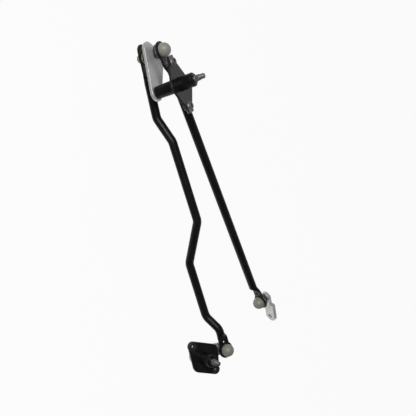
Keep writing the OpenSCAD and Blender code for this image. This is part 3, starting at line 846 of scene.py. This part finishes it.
def link_rod():
    """The rod with six bends: its upper end leans, its upper eye lies on the tube's own axis."""
    twist = twist_between(LINK, LOWER_BALL)
    end = LINK_LEN - LOW_NECK
    flat_end = LINK_LEN - LOW_FLAT
    low_z = -EYE_DROP * math.cos(twist)
    bends = [on_lean(FIRST_BEND), *MIDDLE_BENDS, (end - KNEE[0], KNEE[1]), (end - LAST_BEND, low_z)]
    first = (*on_lean(FLAT_X - OVERLAP), 0)
    last = (flat_end + OVERLAP, low_z, 0)
    path, _ = filleted([first, *[(x, z, BEND_R) for x, z in bends], last], False, 12)
    shifts = ((0, 0, 0), (0, EYE_DROP * math.sin(twist), 0))
    body = tube(path, (0, twist), (FLAT_X, ROD_NECK), (end - 2, flat_end), shifts)
    far_eye = LOWER_BALL @ turned_about("Z", math.pi)
    drain_x = FRONT.eye_r + DRAIN_R
    return joined(
        moved(body, LINK), moved(eye(BACK, FLAT_X, None, BACK_OVER), LINK_EYE),
        moved(eye(FRONT, LOW_FLAT, drain_x), far_eye),
    )


# Levers and crank
def lever_holes(reach):
    """A lever's hole for the shaft's spigot and its hole for the stud's shank."""
    return [circle((0, 0), SPIGOT_R, 40, True), circle((reach, 0), SHANK_R, 40, True)]


def lever_1():
    """The upper lever, which widens to a slanting end with two round corners."""
    corners = [(LEVER_1_RIGHT, LEVER_1_CORNER_R), (LEVER_1_LEFT, LEVER_1_CORNER_R)]
    outline = rounded([((0, 0), LEVER_1_HUB_R), *corners])
    return plate([outline, *lever_holes(LEVER_1_R)], LEVER_1_FACE - LEVER_T, LEVER_1_FACE, LEVER_EDGE)


def lever_2():
    """The straight lower lever, slimmer at its ball."""
    ends = rounded([((0, 0), LEVER_2_HUB_R), ((LEVER_2_R, 0), LEVER_2_END_R)])
    return plate([ends, *lever_holes(LEVER_2_R)], LEVER_2_FACE - LEVER_T, LEVER_2_FACE, LEVER_EDGE)


def crank():
    """A joggled arm: a round end for the stud, a step along an eased path, and a round end with the hole."""
    start = CRANK_BALL_END_R + 3
    stop = start + 1.6 * CRANK_STEP
    high = -FRONT.ball_h
    low = high - CRANK_STEP
    flare = (CRANK_END_R - CRANK_BALL_END_R) / CRANK_R
    near_w = CRANK_BALL_END_R + flare * start
    far_w = CRANK_BALL_END_R + flare * stop
    near = np.array([(start, -near_w), (start, near_w)])
    near = np.vstack((near, arc((0, 0), CRANK_BALL_END_R, math.pi / 2, math.pi, 40)))
    far = arc((CRANK_R, 0), CRANK_END_R, -math.pi / 2, math.pi, 40)
    far = np.vstack((far, [(stop, far_w), (stop, -far_w)]))
    near_end = plate([near, circle((0, 0), SHANK_R, 40, True)], high - CRANK_T, high, LEVER_EDGE)
    far_end = plate([far, circle((CRANK_R, 0), CRANK_HOLE_R, 48, True)], low - CRANK_T, low, LEVER_EDGE)
    x = np.linspace(start - 0.8, stop + 0.8, 30)
    z = high - CRANK_T / 2 - CRANK_STEP * eased(x, start - 0.6, stop + 0.6)
    along = np.stack((np.gradient(x), np.gradient(z)), -1)
    along /= np.linalg.norm(along, axis=1)[:, None]
    up = np.stack((-along[:, 1], 0 * x, along[:, 0]), -1)
    centre = np.stack((x, 0 * x, z), -1)
    across = np.broadcast_to((0.0, 1.0, 0.0), up.shape)
    thick = CRANK_T / 2 * (0.9 + 0.1 * np.abs(along[:, 0]))
    step = swept(centre, across, up, CRANK_BALL_END_R + flare * x, thick, 14, 96)
    return joined(near_end, step, far_end)


def both(skin, first, second):
    """The same surface in two frames."""
    return joined(moved(skin, first), moved(skin, second))


piece("housing_1", "pivot_1_housing", "upper_pivot", "black_rod", moved(housing(HOUSING_1_BACK), PIVOT_1))
piece("flange_1", "pivot_1_flange", "upper_pivot", "black_coat", moved(flange(), PIVOT_1))
piece("clip_nuts", "pivot_1_clip_nuts", "upper_pivot", "shaft_steel", moved(at_ears(clip_nut()), PIVOT_1))
piece("wiper_shaft_1", "shaft_1", "upper_lever", "shaft_steel", moved(shaft(LEVER_1_FACE), LEVER_1))
piece("washer_1", "shaft_1_washer", "upper_lever", "black_coat", moved(washer(), LEVER_1))
piece("circlip_1", "shaft_1_circlip", "upper_lever", "black_coat", moved(circlip(), LEVER_1))
piece("upper_lever_plate", "lever_1", "upper_lever", "zinc", moved(lever_1(), LEVER_1))
piece("double_stud", "double_ball_stud", "upper_lever", "shaft_steel", moved(double_stud(), DRIVE_BALL))
piece("drive_tube", "drive_rod", "drive_rod", "black_rod", drive_rod())
piece("drive_cups", "drive_rod_sockets", "drive_rod", "nylon", both(cup(FRONT), DRIVE, CRANK_BALL))
drive_rings = both(dust_ring(FRONT), DRIVE, CRANK_BALL)
piece("drive_dust_rings", "drive_rod_seals", "drive_rod", "rubber", drive_rings)
piece("crank_ball_stud", "crank_stud", "crank_ball", "shaft_steel", moved(single_stud(CRANK_T), CRANK_BALL))
piece("crank_arm", "motor_crank", "crank", "zinc", moved(crank(), CRANK))
piece("link_tube", "link_rod", "link_rod", "black_rod", link_rod())
link_cups = joined(moved(cup(BACK), LINK_EYE), moved(cup(FRONT), LOWER_BALL))
piece("link_cups", "link_rod_sockets", "link_rod", "nylon", link_cups)
link_rings = joined(moved(dust_ring(BACK), LINK_EYE), moved(dust_ring(FRONT), LOWER_BALL))
piece("link_dust_rings", "link_rod_seals", "link_rod", "rubber", link_rings)
lower_stud = moved(single_stud(LEVER_T), LOWER_BALL)
piece("lower_ball_stud", "lever_2_stud", "lower_ball", "shaft_steel", lower_stud)
piece("lower_lever_plate", "lever_2", "lower_lever", "zinc", moved(lever_2(), LEVER_2))
piece("wiper_shaft_2", "shaft_2", "lower_lever", "shaft_steel", moved(shaft(LEVER_2_FACE), LEVER_2))
piece("washer_2", "shaft_2_washer", "lower_lever", "black_coat", moved(washer(), LEVER_2))
piece("circlip_2", "shaft_2_circlip", "lower_lever", "black_coat", moved(circlip(), LEVER_2))
piece("housing_2", "pivot_2_housing", "lower_pivot", "black_rod", moved(housing(HOUSING_2_BACK), PIVOT_2))
piece("flange_2", "pivot_2_flange", "lower_pivot", "black_coat", moved(flange(), PIVOT_2))
piece("grommets", "pivot_2_grommets", "lower_pivot", "rubber", moved(at_ears(grommet()), PIVOT_2))

# Bushes and seals are the CAD's own shapes with better materials
KEPT = {
    "pivot_1_bushes": "bronze",
    "pivot_2_bushes": "bronze",
    "pivot_1_seal": "rubber",
    "pivot_2_seal": "rubber",
}
for kept, slot_name in KEPT.items():
    for slot in frame["nodes"][kept].material_slots:
        slot.link = "OBJECT"
        slot.material = materials[slot_name]

# Camera: where it stands, where it looks, which way is up in its picture, and its focal length
EYE = (-0.02577, -0.69554, 0.38162)
LOOK = (0.23627, 0.8356, -0.49594)
PICTURE_UP = (-0.90286, 0.37746, 0.20584)
FOCAL_PX = 598.9
PICTURE_PX = 416

# Floor, world, lamps
FLOOR_Z = -0.42
FLOOR_SIZE = 24.0
FLOOR_SHADE = 0.05
FLOOR_DARK = 0.06
FLOOR_FADE = (-0.26, 0.13)
ROOM_FADE = (-0.35, 1.0)
ROOM_STRENGTH = (0.03, 0.75)
MIDDLE = (0.18, 0.03, -0.06)
LAMP_AT = (-0.55, -0.95, 0.85)
LAMP_SIZE = 0.9
LAMP_WATTS = 18


def floor_material():
    """White paint that the camera and mirrors see mostly as white light, with a part of its shading and
    shadow. Mirrors see it white where it lies in the camera's view, and dark on the camera's own side."""
    made = bpy.data.materials.new("floor_white")
    made.use_nodes = True
    nodes, link = made.node_tree.nodes, made.node_tree.links.new
    nodes.clear()
    output = nodes.new("ShaderNodeOutputMaterial")
    paint = nodes.new("ShaderNodeBsdfDiffuse")
    paint.inputs["Color"].default_value = (0.85, 0.85, 0.85, 1)
    glow = nodes.new("ShaderNodeEmission")
    blend = nodes.new("ShaderNodeMixShader")
    path = nodes.new("ShaderNodeLightPath")
    seen = nodes.new("ShaderNodeMath")
    seen.operation = "MAXIMUM"
    mirrored = nodes.new("ShaderNodeMath")
    mirrored.operation = "MAXIMUM"
    share = nodes.new("ShaderNodeMath")
    share.operation = "MULTIPLY"
    share.inputs[1].default_value = 1 - FLOOR_SHADE
    where = nodes.new("ShaderNodeTexCoord")
    ahead = nodes.new("ShaderNodeVectorMath")
    ahead.operation = "DOT_PRODUCT"
    ahead.inputs[1].default_value = (*LOOK[:2], 0)
    lit = nodes.new("ShaderNodeMapRange")
    lit.interpolation_type = "SMOOTHSTEP"
    lit.inputs["From Min"].default_value, lit.inputs["From Max"].default_value = FLOOR_FADE
    lit.inputs["To Min"].default_value = FLOOR_DARK
    lit.inputs["To Max"].default_value = 1
    strength = nodes.new("ShaderNodeMath")
    strength.operation = "MAXIMUM"
    link(where.outputs["Object"], ahead.inputs[0])
    link(ahead.outputs["Value"], lit.inputs["Value"])
    link(lit.outputs[0], strength.inputs[0])
    link(path.outputs["Is Camera Ray"], strength.inputs[1])
    link(strength.outputs[0], glow.inputs["Strength"])
    link(path.outputs["Is Camera Ray"], seen.inputs[0])
    link(path.outputs["Is Glossy Ray"], mirrored.inputs[0])
    link(path.outputs["Is Transmission Ray"], mirrored.inputs[1])
    link(mirrored.outputs[0], seen.inputs[1])
    link(seen.outputs[0], share.inputs[0])
    link(share.outputs[0], blend.inputs[0])
    link(paint.outputs[0], blend.inputs[1])
    link(glow.outputs[0], blend.inputs[2])
    link(blend.outputs[0], output.inputs["Surface"])
    return made


floor_mesh = bpy.data.meshes.new("floor")
half = FLOOR_SIZE / 2
floor_mesh.from_pydata(
    [(x * half, y * half, FLOOR_Z) for x, y in ((-1, -1), (1, -1), (1, 1), (-1, 1))], [], [(0, 1, 2, 3)]
)
floor_mesh.materials.append(floor_material())
floor = bpy.data.objects.new("floor", floor_mesh)
bpy.context.scene.collection.objects.link(floor)


def studio_world():
    """White to the camera, and to everything else a room that is bright in front of the camera and dark
    behind it: strength over the dot product of a direction with the camera's own."""
    world = bpy.data.worlds.new("studio")
    world.use_nodes = True
    nodes, link = world.node_tree.nodes, world.node_tree.links.new
    nodes.clear()
    output = nodes.new("ShaderNodeOutputWorld")
    where = nodes.new("ShaderNodeTexCoord")
    ahead = nodes.new("ShaderNodeVectorMath")
    ahead.operation = "DOT_PRODUCT"
    ahead.inputs[1].default_value = LOOK
    fade = nodes.new("ShaderNodeMapRange")
    fade.interpolation_type = "SMOOTHSTEP"
    fade.inputs["From Min"].default_value, fade.inputs["From Max"].default_value = ROOM_FADE
    fade.inputs["To Min"].default_value, fade.inputs["To Max"].default_value = ROOM_STRENGTH
    room = nodes.new("ShaderNodeBackground")
    white = nodes.new("ShaderNodeBackground")
    path = nodes.new("ShaderNodeLightPath")
    blend = nodes.new("ShaderNodeMixShader")
    link(where.outputs["Generated"], ahead.inputs[0])
    link(ahead.outputs["Value"], fade.inputs["Value"])
    link(fade.outputs[0], room.inputs["Strength"])
    room.inputs["Color"].default_value = (1, 1, 1, 1)
    white.inputs["Color"].default_value = (1, 1, 1, 1)
    link(path.outputs["Is Camera Ray"], blend.inputs[0])
    link(room.outputs[0], blend.inputs[1])
    link(white.outputs[0], blend.inputs[2])
    link(blend.outputs[0], output.inputs["Surface"])
    return world


def lamp(name, at, aim, size, watts):
    """A square soft lamp at a point, turned towards another."""
    data = bpy.data.lights.new(name, "AREA")
    data.size = size
    data.energy = watts
    made = bpy.data.objects.new(name, data)
    made.location = at
    made.rotation_euler = (Vector(aim) - Vector(at)).to_track_quat("-Z", "Y").to_euler()
    bpy.context.scene.collection.objects.link(made)


scene = bpy.context.scene
scene.world = studio_world()
lamp("key", LAMP_AT, MIDDLE, LAMP_SIZE, LAMP_WATTS)

camera_data = bpy.data.cameras.new("camera")
camera_data.sensor_width = 36
camera_data.lens = camera_data.sensor_width * FOCAL_PX / PICTURE_PX
camera_data.clip_start = 0.01
camera = bpy.data.objects.new("camera", camera_data)
back = -Vector(LOOK).normalized()
right = Vector(PICTURE_UP).cross(back).normalized()
top = back.cross(right)
camera.matrix_world = Matrix.Translation(EYE) @ Matrix((right, top, back)).transposed().to_4x4()
scene.collection.objects.link(camera)
scene.camera = camera
scene.view_settings.view_transform = "Standard"
